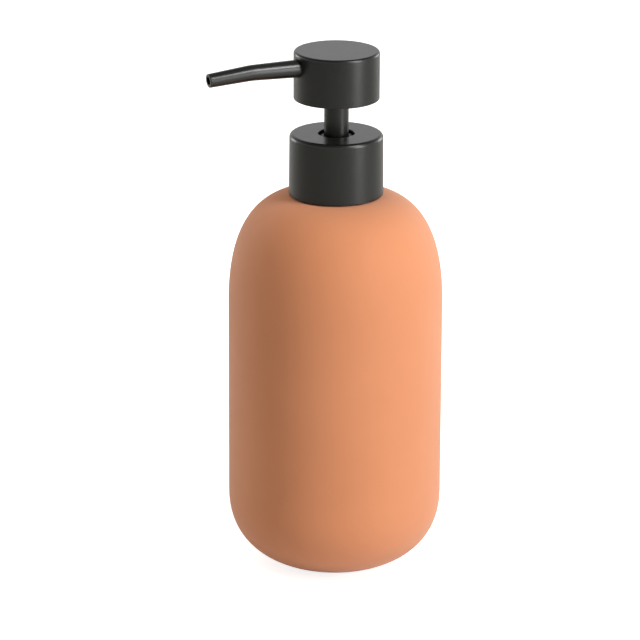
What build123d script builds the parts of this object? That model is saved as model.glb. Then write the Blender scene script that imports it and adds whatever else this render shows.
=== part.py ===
"""Pump dispenser for liquid soap: ceramic bottle, collar, lotion pump and spout.

The Z axis is the axis of the bottle and of the pump, and z = 0 is the flat base. The spout points
along -X. Lengths are in millimetres, and every piece is written as parts/NAME.step.
"""

from build123d import *
from math import cos, radians, sin, sqrt, tan
import os

# ---------------------------------------------------------------------------------------------
# Driving dimensions
# ---------------------------------------------------------------------------------------------

# Whole dispenser, from its base to the top of the head
overall_height = 190.0

# Bottle: a capsule with straight sides, two soft corners and a flat base
body_radius = 38.1
base_radius = 10.0
corner_height = 27.0
shoulder_depth = 39.1
wall = 3.6
floor_thickness = 4.5
mouth_radius = 11.6
lip_radius = 14.0
lip_height = 2.0
lip_round = 0.6

# Where the three arcs of a curve meet, as shares of its way in to the axis and of its height
corner_meets = [(0.014, 0.191), (0.592, 0.916)]
shoulder_meets = [(0.052, 0.387), (0.251, 0.733)]

# Threaded neck bonded into the mouth, and the washer on it
neck_radius = 12.6
neck_bore_radius = 9.6
neck_rise = 15.2
neck_flange_thickness = 1.2
neck_skirt_length = 9.0
neck_skirt_chamfer = 0.4
gasket_thickness = 1.0
gasket_bore_radius = 8.6

# Collar: outer cover and the screw closure pressed into it
collar_radius = 16.55
collar_foot_radius = 16.72
collar_rise = 22.3
collar_edge_round = 1.0
collar_bore_radius = 15.15
collar_top_thickness = 1.3
collar_hole_radius = 6.5
collar_hole_chamfer = 0.2
collar_lift = 0.4
nut_thread_bore_radius = 13.85
nut_flange_thickness = 1.5
nut_recess_radius = 9.4
nut_hole_gap = 0.3
nut_foot_gap = 0.5
nut_rib_count = 24
nut_rib_depth = 0.5

# Pump housing
cylinder_bore_radius = 6.1
cylinder_wall = 1.1
housing_flange_thickness = 1.4
housing_rim_radius = 7.5
cylinder_length = 42.0
housing_cone_height = 2.0
ball_chamber_radius = 2.7
ball_chamber_height = 1.8
chamber_wall = 1.3
inlet_radius = 1.2
inlet_length = 1.0
dip_socket_length = 13.0
vent_radius = 0.6
vent_drop = 5.5

# Cap of the housing (guides the stem) and the wiper ring under it
cap_disc_radius = 9.0
cap_disc_thickness = 1.2
cap_boss_radius = 5.65
cap_recess = 0.9
cap_boss_round = 0.3
cap_skirt_wall = 0.75
cap_skirt_length = 5.6
wiper_height = 1.4
wiper_lip_height = 0.84
wiper_lip_flare = 0.35

# Plunger
stroke = 12.3
stroke_stop_gap = 0.4
valve_slip = 1.3
sleeve_radius = 4.35
stem_radius = 3.75
stem_bore_radius = 2.4
sleeve_step = 1.0
piston_height = 8.0
piston_dish = 0.8
piston_hub_wall = 1.6
piston_lip_height = 1.6
piston_lip_wall = 0.55
piston_waist_radius = 4.9
rod_grip_length = 8.0
rod_flute_count = 3
rod_flute_radius = 0.9
rod_core_radius = 1.7
valve_cone_radius = 3.7
valve_cone_drop = 0.5
seat_flare_radius = 4.1
seat_flare_height = 1.4
spring_disc_radius = 5.3
spring_disc_thickness = 0.9

# Return spring with closed end turns, its seat and the check ball
spring_mean_radius = 4.75
spring_wire_radius = 0.45
spring_turns = 7.5
spring_closed_turns = 0.75
spring_closed_gap = 0.06
spring_steps_per_turn = 12
spring_wire_sides = 8
cage_ledge = 0.6
cage_ring_height = 1.2
cage_ring_wall = 1.3
cage_arm_count = 3
cage_arm_width = 0.9
ball_radius = 2.0

# Dip tube
dip_tube_radius = 3.1
dip_tube_bore_radius = 2.2
dip_tube_floor_gap = 3.0
dip_tube_slant = 30.0

# Head and spout
head_radius = 15.15
head_height = 17.3
head_edge_round = 0.7
head_foot_round = 0.3
head_wall = 1.3
head_top_thickness = 1.2
stem_socket_depth = 9.0
core_recess = 1.4
core_plate = 2.0
core_wall = 1.2
core_boss_radius = 6.2
core_rib_count = 6
core_rib_width = 1.1
channel_radius = 1.7
spout_socket_wall = 1.3
spout_axis_drop = 5.28
spout_root_reach = 8.0
spout_root_radius = 3.29
spout_knee_radius = 2.8
spout_tip_radius = 2.45
spout_bore_radius = 1.6
spout_knee_reach = 32.85
spout_knee_curve = 35.0
spout_rise = 0.97
spout_droop = 4.26
spout_reach = 48.9
spout_tip_round = 0.35

# Clearances
press_gap = 0.03
running_gap = 0.05
seal_gap = 0.02
loose_gap = 0.3
cut_through = 1.0

# ---------------------------------------------------------------------------------------------
# Levels worked out from them
# ---------------------------------------------------------------------------------------------

head_foot = overall_height - head_height
collar_top = head_foot - stroke_stop_gap - stroke
shoulder_height = collar_top - collar_rise
shoulder_start = shoulder_height - shoulder_depth
neck_top = shoulder_height + neck_rise
lip_top = shoulder_height + lip_height
collar_foot = shoulder_height + collar_lift
neck_flange_top = lip_top + neck_flange_thickness
gasket_top = neck_top + gasket_thickness
housing_flange_top = gasket_top + housing_flange_thickness
nut_flange_top = housing_flange_top + nut_flange_thickness
housing_rim_top = nut_flange_top + loose_gap
cap_disc_top = housing_rim_top + cap_disc_thickness
collar_ceiling = collar_top - collar_top_thickness
cap_top = collar_top - cap_recess
cap_foot = housing_rim_top - cap_skirt_length
cylinder_outer_radius = cylinder_bore_radius + cylinder_wall
cylinder_foot = housing_flange_top - cylinder_length
cage_seat = cylinder_foot - cage_ring_height
ball_chamber_top = cage_seat - housing_cone_height
seat_top = ball_chamber_top - ball_chamber_height
seat_apex = seat_top - ball_chamber_radius
inlet_top = seat_apex + inlet_radius
inlet_foot = inlet_top - inlet_length
ball_height = seat_apex + sqrt(2) * (ball_radius + seal_gap)
socket_radius = dip_tube_radius + press_gap
socket_foot = inlet_foot - dip_socket_length

head_ceiling = overall_height - head_top_thickness
spout_axis = overall_height - spout_axis_drop
core_foot = head_foot + core_recess
stem_top = core_foot + stem_socket_depth
piston_top = cap_foot
piston_foot = piston_top - piston_height
hub_top = piston_top - piston_dish
hub_foot = piston_foot + piston_dish
stem_foot = hub_top + valve_slip + running_gap
sleeve_foot = stem_foot + sleeve_step
flare_foot = hub_foot - seal_gap - valve_cone_drop
spring_disc_top = flare_foot - seat_flare_height
spring_top = spring_disc_top - spring_disc_thickness
spring_foot = cylinder_foot
dip_tube_foot = floor_thickness + dip_tube_floor_gap


# ---------------------------------------------------------------------------------------------
# Bottle and neck
# ---------------------------------------------------------------------------------------------


def arc_ends(start, end, meets):
    """Ends of the arcs of a curve that leads from start to end."""
    way_in = end[0] - start[0]
    rise = end[1] - start[1]
    return [start, *[(start[0] + way_in * x, start[1] + rise * z) for x, z in meets], end]


def tangent_arcs(ends, direction):
    """Arcs through the ends, each one tangent to the arc before it."""
    for start, end in zip(ends, ends[1:]):
        arc = TangentArc(start, end, tangent=direction)
        direction = arc % 1


outer_corner = arc_ends((body_radius, corner_height), (base_radius, 0), corner_meets)
outer_shoulder = arc_ends((body_radius, shoulder_start), (lip_radius, shoulder_height), shoulder_meets)

cavity_radius = body_radius - wall
cavity_top = shoulder_height - wall
inner_corner = arc_ends((cavity_radius, corner_height), (base_radius, floor_thickness), corner_meets)
inner_shoulder = arc_ends((cavity_radius, shoulder_start), (lip_radius, cavity_top), shoulder_meets)

with BuildPart() as bottle:
    with BuildSketch(Plane.XZ):
        with BuildLine():
            Polyline(outer_shoulder[-1], (lip_radius, lip_top), (mouth_radius, lip_top))
            Polyline((mouth_radius, lip_top), (mouth_radius, cavity_top), inner_shoulder[-1])
            tangent_arcs(inner_shoulder, (0, 1))
            Line(inner_shoulder[0], inner_corner[0])
            tangent_arcs(inner_corner, (0, -1))
            Polyline(inner_corner[-1], (0, floor_thickness), (0, 0), outer_corner[-1])
            tangent_arcs(outer_corner, (0, -1))
            Line(outer_corner[0], outer_shoulder[0])
            tangent_arcs(outer_shoulder, (0, 1))
        make_face()
    revolve(axis=Axis.Z)
    lip_edges = bottle.edges().filter_by(GeomType.CIRCLE).group_by(Axis.Z)[-1]
    fillet(lip_edges, lip_round)
bottle.part.label = "bottle"

with BuildPart() as neck_insert:
    with BuildSketch(Plane.XZ):
        with BuildLine():
            skirt_radius = mouth_radius - press_gap
            skirt_foot = lip_top - neck_skirt_length
            Polyline(
                (neck_bore_radius, skirt_foot),
                (skirt_radius, skirt_foot),
                (skirt_radius, lip_top),
                (lip_radius, lip_top),
                (lip_radius, neck_flange_top),
                (neck_radius, neck_flange_top),
                (neck_radius, neck_top),
                (neck_bore_radius, neck_top),
                close=True,
            )
        make_face()
    revolve(axis=Axis.Z)
    skirt_edges = neck_insert.edges().filter_by(GeomType.CIRCLE).group_by(Axis.Z)[0]
    chamfer(skirt_edges, neck_skirt_chamfer)
neck_insert.part.label = "neck_insert"

with BuildPart() as neck_gasket:
    with BuildSketch(Plane.XY.offset(neck_top)):
        Circle(neck_radius)
        Circle(gasket_bore_radius, mode=Mode.SUBTRACT)
    extrude(amount=gasket_thickness)
neck_gasket.part.label = "neck_gasket"

# ---------------------------------------------------------------------------------------------
# Collar
# ---------------------------------------------------------------------------------------------

with BuildPart() as collar_cover:
    with BuildSketch(Plane.XZ):
        with BuildLine():
            Polyline(
                (collar_hole_radius, collar_top),
                (collar_radius, collar_top),
                (collar_foot_radius, collar_foot),
                (collar_bore_radius, collar_foot),
                (collar_bore_radius, collar_ceiling),
                (collar_hole_radius, collar_ceiling),
                close=True,
            )
        make_face()
    revolve(axis=Axis.Z)
    rim = collar_cover.edges().filter_by(GeomType.CIRCLE).group_by(Axis.Z)[-1].sort_by(SortBy.RADIUS)
    fillet(rim[-1], collar_edge_round)
    chamfer(rim[0], collar_hole_chamfer)
collar_cover.part.label = "collar_cover"

nut_outer_radius = collar_bore_radius - press_gap
nut_foot = neck_flange_top + nut_foot_gap

with BuildPart() as closure_nut:
    with BuildSketch(Plane.XZ):
        with BuildLine():
            Polyline(
                (nut_outer_radius, nut_foot),
                (nut_outer_radius, collar_ceiling),
                (nut_recess_radius, collar_ceiling),
                (nut_recess_radius, nut_flange_top),
                (housing_rim_radius + nut_hole_gap, nut_flange_top),
                (housing_rim_radius + nut_hole_gap, housing_flange_top),
                (nut_thread_bore_radius, housing_flange_top),
                (nut_thread_bore_radius, nut_foot),
                close=True,
            )
        make_face()
    revolve(axis=Axis.Z)
    with BuildSketch(Plane.XY.offset(nut_foot)):
        with PolarLocations(nut_outer_radius, nut_rib_count):
            Rectangle(2 * nut_rib_depth, nut_rib_depth)
    extrude(amount=nut_flange_top - nut_foot, mode=Mode.SUBTRACT)
closure_nut.part.label = "closure_nut"

# ---------------------------------------------------------------------------------------------
# Pump housing, cap and wiper
# ---------------------------------------------------------------------------------------------

cage_bore_radius = spring_mean_radius - spring_wire_radius - cage_ring_wall
socket_outer_radius = socket_radius + chamber_wall

with BuildPart() as pump_housing:
    with BuildSketch(Plane.XZ):
        with BuildLine():
            Polyline(
                (cylinder_bore_radius, housing_rim_top),
                (housing_rim_radius, housing_rim_top),
                (housing_rim_radius, housing_flange_top),
                (neck_radius, housing_flange_top),
                (neck_radius, gasket_top),
                (cylinder_outer_radius, gasket_top),
                (cylinder_outer_radius, cage_seat),
                (socket_outer_radius, ball_chamber_top),
                (socket_outer_radius, socket_foot),
                (socket_radius, socket_foot),
                (socket_radius, inlet_foot),
                (inlet_radius, inlet_foot),
                (inlet_radius, inlet_top),
                (ball_chamber_radius, seat_top),
                (ball_chamber_radius, ball_chamber_top),
                (cylinder_bore_radius - cage_ledge, cage_seat),
                (cylinder_bore_radius, cage_seat),
                close=True,
            )
        make_face()
    revolve(axis=Axis.Z)
    vent_height = cap_foot - vent_drop
    with BuildSketch(Plane.YZ):
        with Locations((0, vent_height)):
            Circle(vent_radius)
    extrude(amount=cylinder_outer_radius + cut_through, mode=Mode.SUBTRACT)
pump_housing.part.label = "pump_housing"

with BuildPart() as housing_cap:
    with BuildSketch(Plane.XZ):
        with BuildLine():
            guide_radius = sleeve_radius + running_gap
            skirt_outer = cylinder_bore_radius - press_gap
            skirt_inner = skirt_outer - cap_skirt_wall
            Polyline(
                (guide_radius, cap_top),
                (cap_boss_radius, cap_top),
                (cap_boss_radius, cap_disc_top),
                (cap_disc_radius, cap_disc_top),
                (cap_disc_radius, housing_rim_top),
                (skirt_outer, housing_rim_top),
                (skirt_outer, cap_foot),
                (skirt_inner, cap_foot),
                (skirt_inner, housing_rim_top),
                (guide_radius, housing_rim_top),
                close=True,
            )
        make_face()
    revolve(axis=Axis.Z)
    boss_edge = housing_cap.edges().filter_by(GeomType.CIRCLE).group_by(Axis.Z)[-1]
    fillet(boss_edge.sort_by(SortBy.RADIUS)[-1], cap_boss_round)
housing_cap.part.label = "housing_cap"

with BuildPart() as stem_seal:
    with BuildSketch(Plane.XZ):
        with BuildLine():
            Polyline(
                (sleeve_radius + seal_gap, housing_rim_top),
                (skirt_inner - press_gap, housing_rim_top),
                (skirt_inner - press_gap, housing_rim_top - wiper_height),
                (sleeve_radius + seal_gap + wiper_lip_flare, housing_rim_top - wiper_height),
                (sleeve_radius + seal_gap, housing_rim_top - wiper_lip_height),
                close=True,
            )
        make_face()
    revolve(axis=Axis.Z)
stem_seal.part.label = "stem_seal"

# ---------------------------------------------------------------------------------------------
# Spring seat, ball, spring and dip tube
# ---------------------------------------------------------------------------------------------

with BuildPart() as ball_cage:
    with BuildSketch(Plane.XY.offset(cage_seat)):
        Circle(cylinder_bore_radius - press_gap)
        Circle(cage_bore_radius, mode=Mode.SUBTRACT)
        with PolarLocations(cage_bore_radius / 2, cage_arm_count):
            Rectangle(cage_bore_radius + cage_ring_wall, cage_arm_width)
    extrude(amount=cage_ring_height)
ball_cage.part.label = "ball_cage"

with BuildPart() as inlet_ball:
    with Locations((0, 0, ball_height)):
        Sphere(ball_radius)
inlet_ball.part.label = "inlet_ball"

wire_start = spring_foot + spring_wire_radius
wire_end = spring_top - spring_wire_radius
closed_pitch = 2 * spring_wire_radius + spring_closed_gap
closed_rise = spring_closed_turns * closed_pitch
open_turns = spring_turns - 2 * spring_closed_turns
open_pitch = (wire_end - wire_start - 2 * closed_rise) / open_turns


def wire_height(turn):
    """Height of the wire's centre after so many turns: closed end turns, even pitch between."""
    if turn < spring_closed_turns:
        return wire_start + turn * closed_pitch
    if turn > spring_turns - spring_closed_turns:
        return wire_end - (spring_turns - turn) * closed_pitch
    return wire_start + closed_rise + (turn - spring_closed_turns) * open_pitch


with BuildPart() as return_spring:
    for step in range(round(spring_turns * spring_steps_per_turn) + 1):
        turn = step / spring_steps_per_turn
        with BuildSketch(Plane.XZ.rotated((0, 0, 360 * turn))):
            with Locations((spring_mean_radius, wire_height(turn))):
                RegularPolygon(spring_wire_radius, spring_wire_sides)
    loft(ruled=True)
return_spring.part.label = "return_spring"

with BuildPart() as dip_tube:
    with BuildSketch(Plane.XY.offset(dip_tube_foot)):
        Circle(dip_tube_radius)
        Circle(dip_tube_bore_radius, mode=Mode.SUBTRACT)
    extrude(amount=inlet_foot - dip_tube_foot)
    slant = Plane((dip_tube_radius, 0, dip_tube_foot)).rotated((0, dip_tube_slant, 0))
    split(bisect_by=slant, keep=Keep.TOP)
dip_tube.part.label = "dip_tube"

# ---------------------------------------------------------------------------------------------
# Plunger: piston, rod, stem and sleeve
# ---------------------------------------------------------------------------------------------

rod_radius = stem_bore_radius - press_gap
hub_bore_radius = stem_bore_radius + running_gap
hub_radius = hub_bore_radius + piston_hub_wall
lip_radius_outer = cylinder_bore_radius - seal_gap
lip_radius_inner = lip_radius_outer - piston_lip_wall
lip_root = piston_lip_height + piston_dish

with BuildPart() as piston:
    with BuildSketch(Plane.XZ):
        with BuildLine():
            Polyline(
                (hub_bore_radius, hub_top),
                (hub_radius, hub_top),
                (lip_radius_inner, piston_top),
                (lip_radius_outer, piston_top),
                (lip_radius_outer, piston_top - piston_lip_height),
                (piston_waist_radius, piston_top - lip_root),
                (piston_waist_radius, piston_foot + lip_root),
                (lip_radius_outer, piston_foot + piston_lip_height),
                (lip_radius_outer, piston_foot),
                (lip_radius_inner, piston_foot),
                (valve_cone_radius, hub_foot - valve_cone_drop),
                (hub_bore_radius, hub_foot),
                close=True,
            )
        make_face()
    revolve(axis=Axis.Z)
piston.part.label = "piston"

rod_top = stem_foot + rod_grip_length
rod_foot = hub_foot - seal_gap

with BuildPart() as piston_rod:
    with BuildSketch(Plane.XY.offset(rod_foot)):
        Circle(rod_radius)
        with PolarLocations(rod_core_radius + rod_flute_radius, rod_flute_count):
            Circle(rod_flute_radius, mode=Mode.SUBTRACT)
    extrude(amount=rod_top - rod_foot)
    with BuildSketch(Plane.XZ):
        with BuildLine():
            Polyline(
                (0, rod_foot),
                (rod_radius, rod_foot),
                (valve_cone_radius, flare_foot),
                (seat_flare_radius, spring_disc_top),
                (spring_disc_radius, spring_disc_top),
                (spring_disc_radius, spring_top),
                (0, spring_top),
                close=True,
            )
        make_face()
    revolve(axis=Axis.Z)
piston_rod.part.label = "piston_rod"

with BuildPart() as stem:
    with BuildSketch(Plane.XY.offset(stem_foot)):
        Circle(stem_radius)
        Circle(stem_bore_radius, mode=Mode.SUBTRACT)
    extrude(amount=stem_top - stem_foot)
stem.part.label = "stem"

with BuildPart() as stem_sleeve:
    with BuildSketch(Plane.XY.offset(sleeve_foot)):
        Circle(sleeve_radius)
        Circle(stem_radius + press_gap, mode=Mode.SUBTRACT)
    extrude(amount=stem_top - sleeve_foot)
stem_sleeve.part.label = "stem_sleeve"

# ---------------------------------------------------------------------------------------------
# Head and spout
# ---------------------------------------------------------------------------------------------

head_bore_radius = head_radius - head_wall
spout_slope = radians(spout_rise)
spout_side = Plane(origin=(0, 0, spout_axis), z_dir=(-cos(spout_slope), 0, sin(spout_slope)))

with BuildPart() as head_shell:
    with BuildSketch(Plane.XY.offset(head_foot)):
        Circle(head_radius)
    extrude(amount=head_height)
    with BuildSketch(Plane.XY.offset(head_foot)):
        Circle(head_bore_radius)
    extrude(amount=head_ceiling - head_foot, mode=Mode.SUBTRACT)
    rims = head_shell.edges().filter_by(GeomType.CIRCLE).sort_by(Axis.Z)
    fillet(rims[-1], head_edge_round)
    fillet(rims.group_by(Axis.Z)[0].sort_by(SortBy.RADIUS)[-1], head_foot_round)
    with BuildSketch(spout_side):
        Circle(spout_root_radius + press_gap)
    extrude(amount=head_radius + cut_through, mode=Mode.SUBTRACT)
head_shell.part.label = "head_shell"

core_radius = head_bore_radius - press_gap
core_plate_foot = head_ceiling - core_plate
stem_socket_radius = sleeve_radius + press_gap
spout_root_length = spout_root_reach / cos(spout_slope)

with BuildPart() as head_core:
    with BuildSketch(Plane.XY.offset(core_plate_foot)):
        Circle(core_radius)
    extrude(amount=core_plate)
    with BuildSketch(Plane.XY.offset(core_foot)):
        Circle(core_radius)
        Circle(core_radius - core_wall, mode=Mode.SUBTRACT)
        Circle(core_boss_radius)
    extrude(amount=head_ceiling - core_foot)
    with BuildSketch(Plane.XY.offset(core_foot + core_recess)):
        with PolarLocations(core_radius / 2, core_rib_count, start_angle=360 / core_rib_count / 2):
            Rectangle(core_radius - core_wall, core_rib_width)
    extrude(until=Until.NEXT)
    with BuildSketch(spout_side):
        Circle(spout_root_radius + spout_socket_wall)
    extrude(amount=core_radius - core_wall)
    split(bisect_by=Plane.XY.offset(head_ceiling), keep=Keep.BOTTOM)
    with BuildSketch(Plane.XY.offset(core_foot)):
        Circle(stem_socket_radius)
    extrude(amount=stem_socket_depth, mode=Mode.SUBTRACT)
    with BuildSketch(Plane.XY.offset(core_foot)):
        Circle(channel_radius)
    extrude(amount=spout_axis + channel_radius - core_foot, mode=Mode.SUBTRACT)
    with BuildSketch(spout_side):
        Circle(channel_radius)
    extrude(amount=spout_root_length, mode=Mode.SUBTRACT)
    with BuildSketch(spout_side.offset(spout_root_length)):
        Circle(spout_root_radius + press_gap)
    extrude(amount=core_radius, mode=Mode.SUBTRACT)
head_core.part.label = "head_core"

spout_root_height = spout_axis + spout_root_reach * tan(spout_slope)
spout_knee_height = spout_axis + spout_knee_reach * tan(spout_slope)
spout_drop = (spout_reach - spout_knee_reach) * tan(radians(spout_droop))
spout_points = [
    (-spout_root_reach, spout_root_height),
    (-spout_knee_reach, spout_knee_height),
    (-spout_reach, spout_knee_height - spout_drop),
]

with BuildPart() as spout:
    with BuildLine(Plane.XZ) as spout_line:
        FilletPolyline(*spout_points, radius=spout_knee_curve)
    spout_path = spout_line.wires()[0]
    knee = (spout_knee_reach - spout_root_reach) / spout_path.length
    for place, radius in ((0, spout_root_radius), (knee, spout_knee_radius), (1, spout_tip_radius)):
        with BuildSketch(Plane(spout_path @ place, z_dir=spout_path % place)):
            Circle(radius)
    sweep(path=spout_path, multisection=True)
    fillet(spout.faces().sort_by(Axis.X)[0].edges(), spout_tip_round)
    with BuildSketch(Plane(spout_path @ 0, z_dir=spout_path % 0)):
        Circle(spout_bore_radius)
    sweep(path=spout_path, mode=Mode.SUBTRACT)
spout.part.label = "spout"

pieces = [
    bottle,
    neck_insert,
    neck_gasket,
    collar_cover,
    closure_nut,
    pump_housing,
    housing_cap,
    stem_seal,
    ball_cage,
    inlet_ball,
    return_spring,
    dip_tube,
    piston,
    piston_rod,
    stem,
    stem_sleeve,
    head_shell,
    head_core,
    spout,
]

os.makedirs("parts", exist_ok=True)
for piece in pieces:
    export_step(piece.part, f"parts/{piece.part.label}.step")
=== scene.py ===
"""Looks of the soap pump dispenser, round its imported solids.

A matte glazed bottle, a black-coated pump, the floor, the lamps and the camera. Z is the axis of
the bottle and of the pump, the base stands at z = 0 and the spout points along -X. Sizes in the
tables of the dispenser are millimetres, and MM turns them into Blender's metres. The camera and
the lamps are set out in metres. Angles are radians, but for the degrees in the table of lamps.
"""

import bmesh
import bpy
import math
from mathutils import Matrix, Vector


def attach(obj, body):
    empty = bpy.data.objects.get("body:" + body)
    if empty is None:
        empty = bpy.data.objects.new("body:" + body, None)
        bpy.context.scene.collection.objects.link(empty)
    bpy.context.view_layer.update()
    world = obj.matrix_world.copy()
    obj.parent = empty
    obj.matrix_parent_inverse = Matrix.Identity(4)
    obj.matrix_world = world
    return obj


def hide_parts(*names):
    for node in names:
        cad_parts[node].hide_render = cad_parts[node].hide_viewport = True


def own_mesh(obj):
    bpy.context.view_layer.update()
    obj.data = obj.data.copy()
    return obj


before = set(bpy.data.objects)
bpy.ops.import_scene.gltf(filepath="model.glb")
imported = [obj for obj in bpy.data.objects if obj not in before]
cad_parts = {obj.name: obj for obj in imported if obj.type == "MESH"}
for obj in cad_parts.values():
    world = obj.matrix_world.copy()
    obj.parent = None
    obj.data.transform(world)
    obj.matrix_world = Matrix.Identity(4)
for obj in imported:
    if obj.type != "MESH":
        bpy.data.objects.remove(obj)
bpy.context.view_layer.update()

MM = 0.001  # a millimetre in metres
FINE = 192  # sides of a turned piece
SMOOTH_ANGLE = math.radians(32)  # an edge bent more than this is sharp
WELD = 1e-7  # points nearer than this, in metres, are one
SPIN = 1.0  # radius of the ring that a section is spun round

# Bottle: foot, lower corner, straight side, shoulder and mouth
BOTTLE = {
    "Side Radius": 38.1,
    "Foot Radius": 10.0,
    "Foot Reach": 2.3,
    "Corner Height": 27.0,
    "Corner Pull": 25.6,
    "Shoulder Start": 98.6,
    "Shoulder Pull": 31.3,
    "Shoulder Reach": 11.1,
    "Shoulder Height": 137.7,
    "Wall": 3.6,
    "Floor": 4.5,
    "Mouth Radius": 11.6,
    "Lip Radius": 14.0,
    "Lip Height": 2.0,
    "Lip Round": 0.6,
    "Curve Steps": 40,
    "Sides": 256,
}

# Screw thread on the neck, and the one inside the closure that stands clear of it
NECK_THREAD = {
    "Core Radius": 12.6,
    "Crest Height": 0.78,
    "Root Width": 1.9,
    "Crest Width": 0.8,
    "Pitch": 3.6,
    "Turns": 1.6,
    "Start Height": 145.0,
    "Run Out": 0.12,
    "Steps": 180,
}
NUT_THREAD = {
    "Core Radius": 13.85,
    "Crest Height": -0.44,
    "Root Width": 1.2,
    "Crest Width": 0.5,
    "Pitch": 3.6,
    "Turns": 1.5,
    "Start Height": 143.2,
    "Run Out": 0.12,
    "Steps": 180,
}

# How deep a thread's foot stands in its wall, and how thin it ends, as shares of its size
THREAD_SINK = 0.08
THREAD_END = 0.02

# Return spring: closed end turns and an even pitch between them
SPRING = {
    "Coil Radius": 4.75,
    "Wire Radius": 0.45,
    "Foot": 113.3,
    "Top": 141.48,
    "Turns": 7.5,
    "Closed Turns": 0.75,
    "Closed Gap": 0.06,
    "Steps": 420,
    "Wire Sides": 14,
}

# Spout: a tapered tube that rises a little from the head, bends, and droops to its outlet
SPOUT = {
    "Root Reach": 8.0,
    "Knee Reach": 32.85,
    "Full Reach": 48.88,
    "Rise": math.radians(0.97),
    "Droop": math.radians(4.26),
    "Half Bend": 1.6,
    "Axis Height": 184.72,
    "Root Radius": 3.29,
    "Knee Radius": 2.79,
    "Outlet Radius": 2.45,
    "Bore Radius": 1.48,
    "Rim Round": 0.6,
    "Sides": 96,
    "Steps": 120,
}

# Outlet: steps of its outer round, and the small round into its bore
RIM_STEPS = 8
MOUTH_ROUND = 0.1
MOUTH_STEPS = 4

# The head's hole for the spout: its play, and how far from the axis it starts and ends
SPOUT_HOLE_GAP = 0.05
SPOUT_HOLE_START = 8.0
SPOUT_HOLE_END = 20.0

# Sections that are turned round the axis: (radius, height, rounding)
COLLAR = [
    (6.5, 160.0, 0.2),
    (16.55, 160.0, 1.4),
    (16.72, 138.1, 0.2),
    (15.15, 138.1, 0.15),
    (15.15, 158.7, 0.2),
    (6.5, 158.7, 0.1),
]
HEAD = [
    (0.0, 190.0, 0.0),
    (15.15, 190.0, 1.0),
    (15.15, 172.7, 0.3),
    (13.85, 172.7, 0.2),
    (13.85, 188.8, 0.3),
    (0.0, 188.8, 0.0),
]
SLEEVE_SIDES = 96
SLEEVE = [
    (4.35, 183.1, 0.1),
    (4.35, 153.05, 0.2),
    (3.78, 153.05, 0.05),
    (3.78, 183.1, 0.05),
]
CAP_SIDES = 128
GUIDE_CAP = [
    (4.4, 159.1, 0.12),
    (5.65, 159.1, 0.3),
    (5.65, 158.3, 0.1),
    (9.0, 158.3, 0.2),
    (9.0, 157.1, 0.1),
    (6.07, 157.1, 0.0),
    (6.07, 151.5, 0.1),
    (5.32, 151.5, 0.1),
    (5.32, 157.1, 0.0),
    (4.4, 157.1, 0.1),
]


# ---------------------------------------------------------------------------------------------
# Node helpers
# ---------------------------------------------------------------------------------------------


def add(tree, kind, inputs=None, **settings):
    """A node with its settings and its inputs, each a value or another node's output."""
    node = tree.nodes.new(kind)
    for name, value in settings.items():
        setattr(node, name, value)
    for key, value in (inputs or {}).items():
        if isinstance(value, bpy.types.NodeSocket):
            tree.links.new(value, node.inputs[key])
        else:
            node.inputs[key].default_value = value
    return node


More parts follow.
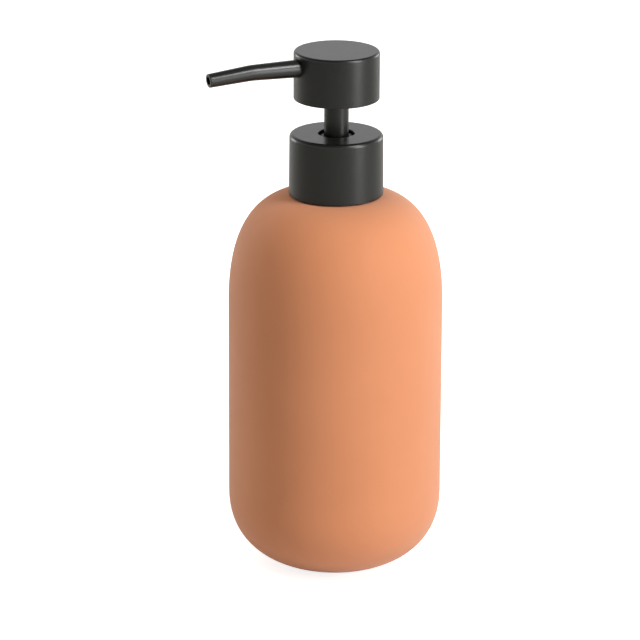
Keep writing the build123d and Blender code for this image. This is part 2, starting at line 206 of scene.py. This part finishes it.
class Form:
    """A Geometry Nodes tree whose inputs are the named sizes of one piece."""

    def __init__(self, name, sizes):
        self.tree = bpy.data.node_groups.new(name, "GeometryNodeTree")
        face = self.tree.interface
        face.new_socket("Geometry", in_out="OUTPUT", socket_type="NodeSocketGeometry")
        face.new_socket("Geometry", in_out="INPUT", socket_type="NodeSocketGeometry")
        for label, value in sizes.items():
            kind = "NodeSocketInt" if isinstance(value, int) else "NodeSocketFloat"
            face.new_socket(label, in_out="INPUT", socket_type=kind)
        face.new_socket("Material", in_out="INPUT", socket_type="NodeSocketMaterial")
        self.inputs = self.tree.nodes.new("NodeGroupInput")
        self.sizes = sizes

    def size(self, label):
        """The input of that name."""
        return self.inputs.outputs[label]

    def make(self, kind, inputs=None, **settings):
        """A node of the tree."""
        return add(self.tree, kind, inputs, **settings)

    def math(self, operation, *values):
        """The result of a sum on values or outputs."""
        return self.make("ShaderNodeMath", dict(enumerate(values)), operation=operation).outputs[0]

    def plus(self, a, b):
        return self.math("ADD", a, b)

    def minus(self, a, b):
        return self.math("SUBTRACT", a, b)

    def times(self, a, b):
        return self.math("MULTIPLY", a, b)

    def over(self, a, b):
        return self.math("DIVIDE", a, b)

    def point(self, x=0.0, y=0.0, z=0.0):
        """A vector from three values or outputs."""
        return self.make("ShaderNodeCombineXYZ", {"X": x, "Y": y, "Z": z}).outputs[0]

    def line(self, start, end):
        """A straight piece of a section or a path."""
        ends = {"Start": start, "End": end}
        return self.make("GeometryNodeCurvePrimitiveLine", ends).outputs[0]

    def curve(self, start, start_pull, end_pull, end, steps):
        """A curved piece of a section, drawn towards its two pulls."""
        inputs = {
            "Resolution": steps,
            "Start": start,
            "Start Handle": start_pull,
            "End Handle": end_pull,
            "End": end,
        }
        kind = "GeometryNodeCurvePrimitiveBezierSegment"
        return self.make(kind, inputs, mode="POSITION").outputs[0]

    def at(self, radius, height):
        """A point of a section that is to be spun."""
        return self.point(self.minus(radius, SPIN), self.times(height, -1.0))

    def spun(self, section, sides):
        """A section made of points from at(), turned round the axis."""
        ring = self.make("GeometryNodeCurvePrimitiveCircle", {"Resolution": sides, "Radius": SPIN})
        return self.swept(ring.outputs["Curve"], section, caps=False)

    def along(self):
        """The share of a path that is behind each of its points."""
        return self.make("GeometryNodeSplineParameter").outputs["Factor"]

    def helix(self, radius, turn, height):
        """A path round the axis, by the angle and the height along it."""
        upright = self.line((0, 0, 0), (0, 0, 1))
        inputs = {"Curve": upright, "Count": self.size("Steps")}
        path = self.make("GeometryNodeResampleCurve", inputs).outputs[0]
        x = self.times(radius, self.math("COSINE", turn))
        y = self.times(radius, self.math("SINE", turn))
        inputs = {"Geometry": path, "Position": self.point(x, y, height)}
        return self.make("GeometryNodeSetPosition", inputs).outputs[0]

    def joined(self, parts):
        """Several geometries as one."""
        join = self.make("GeometryNodeJoinGeometry")
        for part in parts:
            self.tree.links.new(part, join.inputs[0])
        return join.outputs[0]

    def swept(self, path, section, caps=True, scale=1.0):
        """A section carried along a path: its X points away from the axis and its Y down."""
        level = self.make("GeometryNodeSetCurveNormal", {"Curve": path}, mode="Z_UP")
        inputs = {
            "Curve": level.outputs[0],
            "Profile Curve": section,
            "Scale": scale,
            "Fill Caps": caps,
        }
        return self.make("GeometryNodeCurveToMesh", inputs).outputs[0]

    def piece(self, name, geometry, finish):
        """Ends the tree, and gives its result as a plain mesh in metres."""
        inputs = {"Geometry": geometry, "Distance": WELD / MM}
        weld = self.make("GeometryNodeMergeByDistance", inputs)
        smooth = self.make("GeometryNodeSetShadeSmooth", {"Geometry": weld.outputs[0]})
        real = self.make("GeometryNodeRealizeInstances", {"Geometry": smooth.outputs[0]})
        dressed = self.make(
            "GeometryNodeSetMaterial",
            {"Geometry": real.outputs[0], "Material": self.size("Material")},
        )
        output = self.tree.nodes.new("NodeGroupOutput")
        self.tree.links.new(dressed.outputs[0], output.inputs[0])
        seed = bpy.data.objects.new(name + "_form", bpy.data.meshes.new(name))
        bpy.context.scene.collection.objects.link(seed)
        modifier = seed.modifiers.new("Form", "NODES")
        modifier.node_group = self.tree
        values = dict(self.sizes, Material=finish)
        for item in self.tree.interface.items_tree:
            if item.in_out == "INPUT" and item.name in values:
                modifier[item.identifier] = values[item.name]
        view = bpy.context.evaluated_depsgraph_get()
        mesh = bpy.data.meshes.new_from_object(seed.evaluated_get(view))
        bpy.data.objects.remove(seed)
        mesh.transform(Matrix.Scale(MM, 4))
        return placed(name, mesh, finish)


# ---------------------------------------------------------------------------------------------
# Mesh helpers
# ---------------------------------------------------------------------------------------------


def placed(name, mesh, finish):
    """An object for a mesh that is already in its place: welded, facing outwards, smooth."""
    work = bmesh.new()
    work.from_mesh(mesh)
    bmesh.ops.remove_doubles(work, verts=work.verts, dist=WELD)
    bmesh.ops.dissolve_degenerate(work, edges=work.edges, dist=WELD)
    bmesh.ops.recalc_face_normals(work, faces=work.faces)
    work.to_mesh(mesh)
    work.free()
    mesh.materials.clear()
    mesh.materials.append(finish)
    mesh.shade_smooth()
    mesh.set_sharp_from_angle(angle=SMOOTH_ANGLE)
    mesh.name = name
    piece = bpy.data.objects.new(name, mesh)
    bpy.context.scene.collection.objects.link(piece)
    return piece


def rounded(corners, steps=8, guard=0.04):
    """The outline through corners of (radius, height, rounding), with a guard line by each arc."""
    outline = []
    for index, (radius, height, rounding) in enumerate(corners):
        here = Vector((radius, height))
        if not rounding:
            outline.append(here)
            continue
        before = Vector(corners[index - 1][:2]) - here
        after = Vector(corners[(index + 1) % len(corners)][:2]) - here
        before.normalize()
        after.normalize()
        half = before.angle(after) / 2
        reach = rounding / math.tan(half)
        centre = here + (before + after).normalized() * rounding / math.sin(half)
        first = here + before * reach - centre
        last = here + after * reach - centre
        bend = math.pi - 2 * half
        outline.append(here + before * (reach + guard))
        for step in range(steps + 1):
            share = step / steps
            mix = math.sin((1 - share) * bend) * first + math.sin(share * bend) * last
            outline.append(centre + mix / math.sin(bend))
        outline.append(here + after * (reach + guard))
    return outline


def turned(name, corners, finish, sides=FINE):
    """A piece turned round the Z axis from the outline of its section."""
    outline = rounded(corners)
    work = bmesh.new()
    rings = []
    for side in range(sides):
        angle = math.tau * side / sides
        x, y = math.cos(angle) * MM, math.sin(angle) * MM
        rings.append([work.verts.new((p.x * x, p.x * y, p.y * MM)) for p in outline])
    for side in range(sides):
        here, beside = rings[side], rings[(side + 1) % sides]
        for low in range(len(outline)):
            high = (low + 1) % len(outline)
            work.faces.new((here[low], beside[low], beside[high], here[high]))
    mesh = bpy.data.meshes.new(name)
    work.to_mesh(mesh)
    work.free()
    return placed(name, mesh, finish)


def refined(node, finish):
    """A welded, smooth copy of a solid whose shape is right, without its stored normals."""
    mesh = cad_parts[node].data.copy()
    if "custom_normal" in mesh.attributes:
        mesh.attributes.remove(mesh.attributes["custom_normal"])
    return placed(node + "_fine", mesh, finish)


def fitted(piece, body, slot, *nodes):
    """The piece rides on its body, and stands for the solids it dresses; the slot is not used."""
    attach(piece, body)
    if nodes:
        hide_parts(*nodes)
    return piece


# ---------------------------------------------------------------------------------------------
# Finishes
# ---------------------------------------------------------------------------------------------

# How strongly the clay's specks show, and the height in millimetres of the bottle's bare foot
SPECK_SHARE = 0.22
BARE_FOOT = 0.35

# Flow marks run up a moulded piece, and the lines of drawn steel run round it
FLOW_STRETCH = 0.25
LINE_SQUEEZE = 9.0


class Finish:
    """A material with one main shader, and the patterns that feed it."""

    def __init__(self, name, settings):
        self.material = bpy.data.materials.new(name)
        self.material.use_nodes = True
        self.tree = self.material.node_tree
        self.shader = self.tree.nodes["Principled BSDF"]
        for label, value in settings.items():
            self.shader.inputs[label].default_value = value
        self.place = self.make("ShaderNodeTexCoord").outputs["Object"]

    def make(self, kind, inputs=None, **settings):
        """A node of the material."""
        return add(self.tree, kind, inputs, **settings)

    def stretched(self, upright):
        """The object's coordinates, with the upright one scaled."""
        inputs = {"Vector": self.place, "Scale": (1.0, 1.0, upright)}
        return self.make("ShaderNodeMapping", inputs).outputs[0]

    def noise(self, size, detail=2.0, place=None):
        """Soft mottling with patches about size millimetres across."""
        inputs = {"Vector": place or self.place, "Scale": 1 / (size * MM), "Detail": detail}
        return self.make("ShaderNodeTexNoise", inputs).outputs["Fac"]

    def spread(self, pattern, to_low, to_high, low=0.3, high=0.7):
        """A pattern's values from low to high, spread from to_low to to_high."""
        inputs = {0: pattern, 1: low, 2: high, 3: to_low, 4: to_high}
        return self.make("ShaderNodeMapRange", inputs).outputs[0]

    def blend(self, share, under, over):
        """One colour over another, by a pattern."""
        inputs = {0: share, 6: under, 7: over}
        return self.make("ShaderNodeMix", inputs, data_type="RGBA").outputs[2]

    def feed(self, label, value):
        """A pattern into one of the main shader's sockets."""
        self.tree.links.new(value, self.shader.inputs[label])

    def bump(self, height, depth, under=None):
        """Relief of depth millimetres, over any relief under it."""
        inputs = {"Height": height, "Distance": depth * MM}
        if under:
            inputs["Normal"] = under
        return self.make("ShaderNodeBump", inputs).outputs[0]


def tone(red, green, blue):
    """A colour as it is seen on a screen, 0 to 255, as the shader's linear one."""

    def linear(value):
        share = value / 255
        return share / 12.92 if share <= 0.04045 else ((share + 0.055) / 1.055) ** 2.4

    return (linear(red), linear(green), linear(blue), 1.0)


def terracotta_glaze():
    """Silky matte glaze: slight clouding, faint clay specks, a bare foot."""
    settings = {"IOR": 1.33, "Sheen Weight": 0.2, "Sheen Roughness": 0.6}
    finish = Finish("terracotta_glaze", settings)
    clouds = finish.spread(finish.noise(size=38.0, detail=3.0), 0.0, 1.0)
    colour = finish.blend(clouds, tone(202, 130, 88), tone(206, 134, 92))
    specks = finish.spread(finish.noise(size=0.55), 0.0, SPECK_SHARE, low=0.68, high=0.8)
    colour = finish.blend(specks, colour, tone(158, 100, 68))
    height = finish.make("ShaderNodeSeparateXYZ", {0: finish.place}).outputs["Z"]
    bare = finish.spread(height, 1.0, 0.0, low=0.0, high=BARE_FOOT * MM)
    finish.feed("Base Color", finish.blend(bare, colour, tone(206, 176, 150)))
    finish.feed("Roughness", finish.spread(finish.noise(size=6.0, detail=4.0), 0.66, 0.74))
    waves = finish.bump(finish.noise(size=14.0), depth=0.03)
    finish.feed("Normal", finish.bump(finish.noise(size=0.7, detail=3.0), 0.004, under=waves))
    return finish.material


def black_coating(name, ior, rough, uneven):
    """Satin black powder coat on metal: fine grain, uneven sheen."""
    finish = Finish(name, {"IOR": ior})
    clouds = finish.spread(finish.noise(size=16.0, detail=3.0), 0.0, 1.0)
    finish.feed("Base Color", finish.blend(clouds, tone(15, 16, 13), tone(18, 19, 16)))
    sheen = finish.spread(finish.noise(size=2.2, detail=4.0), rough, rough + uneven)
    finish.feed("Roughness", sheen)
    finish.feed("Normal", finish.bump(finish.noise(size=0.35), depth=0.0002))
    return finish.material


def moulded(name, dark, light, rough):
    """Moulded plastic: slight flow marks and a fine skin."""
    finish = Finish(name, {})
    marks = finish.noise(size=5.0, detail=3.0, place=finish.stretched(FLOW_STRETCH))
    finish.feed("Base Color", finish.blend(finish.spread(marks, 0.0, 1.0), dark, light))
    skin = finish.noise(size=1.5, detail=3.0)
    finish.feed("Roughness", finish.spread(skin, rough * 0.96, rough * 1.05))
    finish.feed("Normal", finish.bump(finish.noise(size=0.5), depth=0.001))
    return finish.material


def soft_rubber():
    """Dark sealing rubber with a dusty bloom."""
    finish = Finish("soft_rubber", {"Roughness": 0.75})
    bloom = finish.spread(finish.noise(size=1.2, detail=4.0), 0.0, 1.0, low=0.45, high=0.75)
    finish.feed("Base Color", finish.blend(bloom, tone(40, 40, 42), tone(66, 66, 68)))
    finish.feed("Normal", finish.bump(finish.noise(size=0.25), depth=0.006))
    return finish.material


def bright_steel(name, rough):
    """Drawn or ground steel: fine lines and a slightly uneven polish."""
    finish = Finish(name, {"Metallic": 1.0})
    drawn = finish.noise(size=0.6, detail=3.0, place=finish.stretched(LINE_SQUEEZE))
    finish.feed("Base Color", finish.blend(drawn, tone(172, 172, 170), tone(206, 206, 204)))
    finish.feed("Roughness", finish.spread(drawn, rough * 0.8, rough * 1.25))
    finish.feed("Normal", finish.bump(drawn, depth=0.0015))
    return finish.material


# ---------------------------------------------------------------------------------------------
# Forms that follow a rule
# ---------------------------------------------------------------------------------------------


def bottle_skin(form, side, bottom, top):
    """One face of the bottle from the axis to the lip's root, and that root."""
    size, at, line = form.size, form.at, form.line
    steps = size("Curve Steps")
    rise = form.over(form.minus(size("Corner Height"), bottom), size("Corner Height"))
    full = form.minus(size("Shoulder Height"), size("Shoulder Start"))
    climb = form.over(form.minus(top, size("Shoulder Start")), full)
    foot = at(size("Foot Radius"), bottom)
    foot_pull = at(form.plus(size("Foot Radius"), size("Foot Reach")), bottom)
    corner = form.minus(size("Corner Height"), form.times(size("Corner Pull"), rise))
    low = at(side, size("Corner Height"))
    high = at(side, size("Shoulder Start"))
    crown = form.plus(size("Shoulder Start"), form.times(size("Shoulder Pull"), climb))
    lip_pull = at(form.plus(size("Lip Radius"), size("Shoulder Reach")), top)
    lip = at(size("Lip Radius"), top)
    parts = [
        line(at(0.0, bottom), foot),
        form.curve(foot, foot_pull, at(side, corner), low, steps),
        line(low, high),
        form.curve(high, at(side, crown), lip_pull, lip, steps),
    ]
    return parts, lip


def bottle_body(finish):
    """The bottle: a flat foot, a soft corner, a straight side, a full shoulder and a lip."""
    form = Form("bottle_body", BOTTLE)
    size, at, line = form.size, form.at, form.line
    steps = size("Curve Steps")
    wall = size("Wall")
    inner_side = form.minus(size("Side Radius"), wall)
    inner_foot = form.minus(size("Shoulder Height"), wall)
    outside, lip_root = bottle_skin(form, size("Side Radius"), 0.0, size("Shoulder Height"))
    inside, mouth_root = bottle_skin(form, inner_side, size("Floor"), inner_foot)
    top = form.plus(size("Shoulder Height"), size("Lip Height"))
    eased = form.minus(top, size("Lip Round"))
    outer, inner = size("Lip Radius"), size("Mouth Radius")
    outer_eased = form.minus(outer, size("Lip Round"))
    inner_eased = form.plus(inner, size("Lip Round"))
    outer_corner, inner_corner = at(outer, top), at(inner, top)
    rim = [
        line(lip_root, at(outer, eased)),
        form.curve(at(outer, eased), outer_corner, outer_corner, at(outer_eased, top), steps),
        line(at(outer_eased, top), at(inner_eased, top)),
        form.curve(at(inner_eased, top), inner_corner, inner_corner, at(inner, eased), steps),
        line(at(inner, eased), at(inner, inner_foot)),
        line(at(inner, inner_foot), mouth_root),
    ]
    section = form.joined(outside + rim + inside)
    return form.piece("bottle_body", form.spun(section, size("Sides")), finish)


def screw_thread(name, sizes, finish):
    """One start of a thread that fades into its wall at both ends."""
    form = Form(name, sizes)
    size = form.size
    share = form.along()
    turns = form.times(share, size("Turns"))
    height = form.plus(size("Start Height"), form.times(turns, size("Pitch")))
    path = form.helix(size("Core Radius"), form.times(turns, math.tau), height)
    near = form.math("MINIMUM", share, form.minus(1.0, share))
    fade = form.math("MINIMUM", form.over(near, size("Run Out")), 1.0)
    full = form.math("MAXIMUM", form.math("SQRT", fade), THREAD_END)
    crest = size("Crest Height")
    half_root = form.over(size("Root Width"), 2.0)
    half_crest = form.over(size("Crest Width"), 2.0)
    sunk = form.times(crest, -THREAD_SINK)
    corners = {
        "Point 1": form.point(sunk, form.times(half_root, -1.0)),
        "Point 2": form.point(crest, form.times(half_crest, -1.0)),
        "Point 3": form.point(crest, half_crest),
        "Point 4": form.point(sunk, half_root),
    }
    section = form.make("GeometryNodeCurvePrimitiveQuadrilateral", corners, mode="POINTS")
    ridge = form.swept(path, section.outputs[0], scale=full)
    return form.piece(name, ridge, finish)


def spring_coil(finish):
    """The return spring: round wire on a helix with closed end turns."""
    form = Form("spring_coil", SPRING)
    size = form.size
    turn = form.times(form.along(), size("Turns"))
    closed_pitch = form.plus(form.times(size("Wire Radius"), 2.0), size("Closed Gap"))
    closed_rise = form.times(size("Closed Turns"), closed_pitch)
    start = form.plus(size("Foot"), size("Wire Radius"))
    end = form.minus(size("Top"), size("Wire Radius"))
    open_turns = form.minus(size("Turns"), form.times(size("Closed Turns"), 2.0))
    open_rise = form.minus(form.minus(end, start), form.times(closed_rise, 2.0))
    open_pitch = form.over(open_rise, open_turns)
    low = form.plus(start, form.times(turn, closed_pitch))
    past = form.minus(turn, size("Closed Turns"))
    middle = form.plus(form.plus(start, closed_rise), form.times(past, open_pitch))
    high = form.minus(end, form.times(form.minus(size("Turns"), turn), closed_pitch))
    height = form.math("MAXIMUM", low, form.math("MINIMUM", middle, high))
    path = form.helix(size("Coil Radius"), form.times(turn, math.tau), height)
    round_wire = {"Resolution": size("Wire Sides"), "Radius": size("Wire Radius")}
    wire = form.make("GeometryNodeCurvePrimitiveCircle", round_wire)
    return form.piece("spring_coil", form.swept(path, wire.outputs["Curve"]), finish)


def straight_spout(form, length, knee):
    """The spout before it is bent: a tapered tube with a rounded outlet, along the axis."""
    size, at, line = form.size, form.at, form.line
    root, outlet = size("Root Radius"), size("Outlet Radius")
    bore, steps = size("Bore Radius"), size("Steps")
    rim_start = form.minus(length, size("Rim Round"))
    rim_radius = form.minus(outlet, size("Rim Round"))
    mouth_start = form.minus(length, MOUTH_ROUND)
    mouth_radius = form.plus(bore, MOUTH_ROUND)
    taper, corner = at(size("Knee Radius"), knee), at(outlet, length)
    bore_taper, bore_corner = at(bore, knee), at(bore, length)
    parts = [
        line(at(bore, 0.0), at(root, 0.0)),
        form.curve(at(root, 0.0), taper, taper, at(outlet, rim_start), steps),
        form.curve(at(outlet, rim_start), corner, corner, at(rim_radius, length), RIM_STEPS),
        line(at(rim_radius, length), at(mouth_radius, length)),
        form.curve(
            at(mouth_radius, length), bore_corner, bore_corner, at(bore, mouth_start), MOUTH_STEPS
        ),
        form.curve(at(bore, mouth_start), bore_taper, bore_taper, at(bore, 0.0), steps),
    ]
    return form.spun(form.joined(parts), size("Sides"))


def pump_spout(finish):
    """The spout: its straight tube laid along -X, rising to the knee and drooping beyond."""
    form = Form("pump_spout", SPOUT)
    size = form.size
    length = form.minus(size("Full Reach"), size("Root Reach"))
    knee = form.minus(size("Knee Reach"), size("Root Reach"))
    tube = straight_spout(form, length, knee)
    spot = form.make("GeometryNodeInputPosition").outputs[0]
    parts = form.make("ShaderNodeSeparateXYZ", {0: spot})
    along = parts.outputs["Z"]
    rise = form.math("TANGENT", size("Rise"))
    turn = form.plus(rise, form.math("TANGENT", size("Droop")))
    bend = size("Half Bend")
    full_bend = form.times(bend, 2.0)
    past = form.math("MAXIMUM", form.plus(form.minus(along, knee), bend), 0.0)
    inside = form.math("MINIMUM", past, full_bend)
    eased = form.over(inside, full_bend)
    beyond = form.math("MAXIMUM", form.minus(past, full_bend), 0.0)
    bent_way = form.plus(form.times(form.times(inside, eased), 0.5), beyond)
    reach = form.plus(along, size("Root Reach"))
    straight_height = form.plus(size("Axis Height"), form.times(reach, rise))
    height = form.minus(straight_height, form.times(bent_way, turn))
    slope = form.minus(form.times(eased, turn), rise)
    lean = form.times(parts.outputs["X"], slope)
    bent = form.point(
        form.minus(form.times(reach, -1.0), lean),
        parts.outputs["Y"],
        form.plus(height, parts.outputs["X"]),
    )
    shaped = form.make("GeometryNodeSetPosition", {"Geometry": tube, "Position": bent})
    return form.piece("pump_spout", shaped.outputs[0], finish)


def pump_head(finish):
    """The head's shell, with the round hole that the spout passes through."""
    shell = turned("pump_head", HEAD, finish)
    hole_radius = SPOUT["Root Radius"] + SPOUT_HOLE_GAP
    hole = [
        (0.0, SPOUT_HOLE_START, 0.0),
        (hole_radius, SPOUT_HOLE_START, 0.0),
        (hole_radius, SPOUT_HOLE_END, 0.0),
        (0.0, SPOUT_HOLE_END, 0.0),
    ]
    cutter = turned("spout_hole", hole, finish, sides=SPOUT["Sides"])
    turn = Matrix.Rotation(SPOUT["Rise"] - math.pi / 2, 4, "Y")
    cutter.data.transform(Matrix.Translation((0, 0, SPOUT["Axis Height"] * MM)) @ turn)
    cut = shell.modifiers.new("Spout Hole", "BOOLEAN")
    cut.operation = "DIFFERENCE"
    cut.solver = "EXACT"
    cut.object = cutter
    view = bpy.context.evaluated_depsgraph_get()
    mesh = bpy.data.meshes.new_from_object(shell.evaluated_get(view))
    bpy.data.objects.remove(cutter)
    bpy.data.objects.remove(shell)
    return placed("pump_head", mesh, finish)


# ---------------------------------------------------------------------------------------------
# The dispenser
# ---------------------------------------------------------------------------------------------

glaze = terracotta_glaze()
coating = black_coating("black_coating", ior=1.46, rough=0.29, uneven=0.02)
spout_coating = black_coating("spout_coating", ior=1.53, rough=0.3, uneven=0.006)
black_plastic = moulded("black_plastic", tone(34, 34, 35), tone(42, 42, 43), rough=0.42)
neck_plastic = moulded("neck_plastic", tone(208, 207, 201), tone(218, 217, 211), rough=0.45)
pump_plastic = moulded("pump_plastic", tone(200, 203, 204), tone(214, 216, 217), rough=0.35)
piston_plastic = moulded("piston_plastic", tone(188, 197, 203), tone(201, 209, 215), rough=0.4)
tube_plastic = moulded("tube_plastic", tone(206, 210, 210), tone(218, 221, 221), rough=0.28)
rubber = soft_rubber()
spring_steel = bright_steel("spring_steel", rough=0.26)
ball_steel = bright_steel("ball_steel", rough=0.12)

fitted(bottle_body(glaze), "bottle", "bottle_ceramic", "bottle")
collar = turned("collar_shell", COLLAR, coating)
fitted(collar, "closure", "black_coating", "collar_cover")
fitted(pump_head(coating), "head", "black_coating", "head_shell")
sleeve = turned("stem_tube", SLEEVE, coating, sides=SLEEVE_SIDES)
fitted(sleeve, "head", "black_coating", "stem_sleeve")
fitted(pump_spout(spout_coating), "head", "black_coating", "spout")
cap = turned("guide_cap", GUIDE_CAP, black_plastic, sides=CAP_SIDES)
fitted(cap, "pump", "black_plastic", "housing_cap")
fitted(screw_thread("neck_thread", NECK_THREAD, neck_plastic), "bottle", "neck_plastic")
fitted(screw_thread("nut_thread", NUT_THREAD, black_plastic), "closure", "black_plastic")

coil = fitted(spring_coil(spring_steel), "pump", "spring_steel", "return_spring")
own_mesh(coil)

# Solids that keep their own shape: body, slot and finish
INNER = {
    "neck_insert": ("bottle", "neck_plastic", neck_plastic),
    "neck_gasket": ("pump", "gasket_rubber", rubber),
    "closure_nut": ("closure", "black_plastic", black_plastic),
    "pump_housing": ("pump", "pump_plastic", pump_plastic),
    "stem_seal": ("pump", "gasket_rubber", rubber),
    "ball_cage": ("pump", "pump_plastic", pump_plastic),
    "inlet_ball": ("ball", "ball_steel", ball_steel),
    "dip_tube": ("pump", "tube_plastic", tube_plastic),
    "piston": ("piston", "piston_plastic", piston_plastic),
    "piston_rod": ("head", "pump_plastic", pump_plastic),
    "stem": ("head", "pump_plastic", pump_plastic),
    "head_core": ("head", "black_plastic", black_plastic),
}
for node, (body, slot, finish) in INNER.items():
    fitted(refined(node, finish), body, slot, node)


# ---------------------------------------------------------------------------------------------
# Floor, lamps and camera
# ---------------------------------------------------------------------------------------------

# Angles in radians, places and distances in metres, lens and sensor in millimetres
CAMERA_AZIMUTH = math.radians(-25.0)
CAMERA_ELEVATION = 0.31354
CAMERA_DISTANCE = 1.5
CAMERA_AIM = Vector((0.0, 0.0, 0.095))
CAMERA_PAN = 0.00364
CAMERA_TILT = -0.00274
CAMERA_ROLL = -0.00552
CAMERA_LENS = 236.499
SENSOR = 36.0

WHITE = (1.0, 1.0, 1.0, 1.0)
WARM = (1.0, 0.94, 0.82, 1.0)

# Half the floor's width, its grey, and the light that it adds where it is seen
FLOOR_HALF = 6.0
FLOOR_GREY = 0.8
FLOOR_GLOW = 0.8

# The fill's strength; how steeply up the walls end and the ceiling begins, as the sine of the
# elevation; and how bright the ceiling is against the walls
FILL = 0.18
WALL_TOP = 0.32
CEILING_EDGE = 0.6
CEILING = 0.25

# Softboxes: azimuth and elevation in degrees, distance, width and height in metres, watts
LAMPS = {
    "key": (58, 9, 1.2, 0.42, 0.66, 9.5),
    "high_key": (57, 45, 1.2, 0.4, 0.3, 7.6),
    "rim": (-128, 7, 1.2, 0.4, 0.5, 3.4),
    "back": (135, 7, 1.2, 0.45, 0.5, 3.0),
    "top": (-90, 70, 1.3, 1.7, 1.3, 8.2),
}


def heading(azimuth, elevation):
    """The direction from the object to a place seen at that azimuth and elevation."""
    level = math.cos(elevation)
    return Vector((math.sin(azimuth) * level, -math.cos(azimuth) * level, math.sin(elevation)))


def stand_camera():
    """A long lens, a little above the dispenser, on its left front."""
    forward = -heading(CAMERA_AZIMUTH, CAMERA_ELEVATION)
    right = forward.cross(Vector((0, 0, 1))).normalized()
    up = right.cross(forward)
    pan = Matrix.Rotation(CAMERA_PAN, 3, up)
    forward, right = pan @ forward, pan @ right
    tilt = Matrix.Rotation(CAMERA_TILT, 3, right)
    forward, up = tilt @ forward, tilt @ up
    roll = Matrix.Rotation(CAMERA_ROLL, 3, forward)
    right, up = roll @ right, roll @ up
    data = bpy.data.cameras.new("camera")
    data.sensor_width = SENSOR
    data.lens = CAMERA_LENS
    camera = bpy.data.objects.new("camera", data)
    bpy.context.scene.collection.objects.link(camera)
    frame_of_view = Matrix((right, up, -forward)).transposed().to_4x4()
    place = CAMERA_AIM + heading(CAMERA_AZIMUTH, CAMERA_ELEVATION) * CAMERA_DISTANCE
    camera.matrix_world = Matrix.Translation(place) @ frame_of_view
    bpy.context.scene.camera = camera


def lamp(name, azimuth, elevation, distance, width, height, power):
    """A softbox that faces the dispenser, its azimuth in degrees to the right of the camera."""
    data = bpy.data.lights.new(name, "AREA")
    data.shape = "RECTANGLE"
    data.size = width
    data.size_y = height
    data.energy = power
    light = bpy.data.objects.new(name, data)
    away = heading(CAMERA_AZIMUTH + math.radians(azimuth), math.radians(elevation))
    light.location = CAMERA_AIM + away * distance
    light.rotation_euler = away.to_track_quat("Z", "Y").to_euler()
    light.visible_camera = False
    bpy.context.scene.collection.objects.link(light)
    return light


def white_floor():
    """A wide white floor that keeps the dispenser's shadow."""
    half = FLOOR_HALF
    mesh = bpy.data.meshes.new("floor")
    corners = [(-half, -half, 0), (half, -half, 0), (half, half, 0), (-half, half, 0)]
    mesh.from_pydata(corners, [], [(0, 1, 2, 3)])
    floor = bpy.data.objects.new("floor", mesh)
    bpy.context.scene.collection.objects.link(floor)
    material = bpy.data.materials.new("white_floor")
    material.use_nodes = True
    tree = material.node_tree
    shader = tree.nodes["Principled BSDF"]
    shader.inputs["Base Color"].default_value = (FLOOR_GREY, FLOOR_GREY, FLOOR_GREY, 1.0)
    shader.inputs["Roughness"].default_value = 0.9
    shader.inputs["Specular IOR Level"].default_value = 0.0
    seen = add(tree, "ShaderNodeLightPath").outputs["Is Camera Ray"]
    glow = add(tree, "ShaderNodeEmission", {"Color": WHITE, "Strength": FLOOR_GLOW})
    both = add(tree, "ShaderNodeAddShader", {0: shader.outputs[0], 1: glow.outputs[0]})
    mix = add(tree, "ShaderNodeMixShader", {0: seen, 1: shader.outputs[0], 2: both.outputs[0]})
    tree.links.new(mix.outputs[0], tree.nodes["Material Output"].inputs["Surface"])
    mesh.materials.append(material)


def larger(tree, a, b):
    """The larger of two outputs."""
    return add(tree, "ShaderNodeMath", {0: a, 1: b}, operation="MAXIMUM").outputs[0]


def studio_world():
    """A warm fill; a white view; reflections of white walls under a darker ceiling."""
    world = bpy.data.worlds.new("studio")
    world.use_nodes = True
    tree = world.node_tree
    tree.nodes.clear()
    path = add(tree, "ShaderNodeLightPath").outputs
    seen = larger(tree, path["Is Camera Ray"], path["Is Glossy Ray"])
    seen = larger(tree, seen, path["Is Transmission Ray"])
    fill = add(tree, "ShaderNodeBackground", {"Color": WARM, "Strength": FILL})
    way = add(tree, "ShaderNodeTexCoord").outputs["Generated"]
    height = add(tree, "ShaderNodeSeparateXYZ", {0: way}).outputs["Z"]
    fade = {
        "Value": height,
        "From Min": WALL_TOP,
        "From Max": CEILING_EDGE,
        "To Min": 1.0,
        "To Max": CEILING,
    }
    walls = add(tree, "ShaderNodeMapRange", fade, interpolation_type="SMOOTHSTEP")
    level = larger(tree, path["Is Camera Ray"], walls.outputs["Result"])
    white = add(tree, "ShaderNodeBackground", {"Color": WHITE, "Strength": level})
    mix = add(tree, "ShaderNodeMixShader", {0: seen, 1: fill.outputs[0], 2: white.outputs[0]})
    add(tree, "ShaderNodeOutputWorld", {"Surface": mix.outputs[0]})
    bpy.context.scene.world = world


stand_camera()
white_floor()
studio_world()
lights = {name: lamp(name, *settings) for name, settings in LAMPS.items()}
lights["top"].visible_glossy = False
lights["top"].data.color = WARM[:3]
bpy.context.scene.view_settings.view_transform = "Standard"
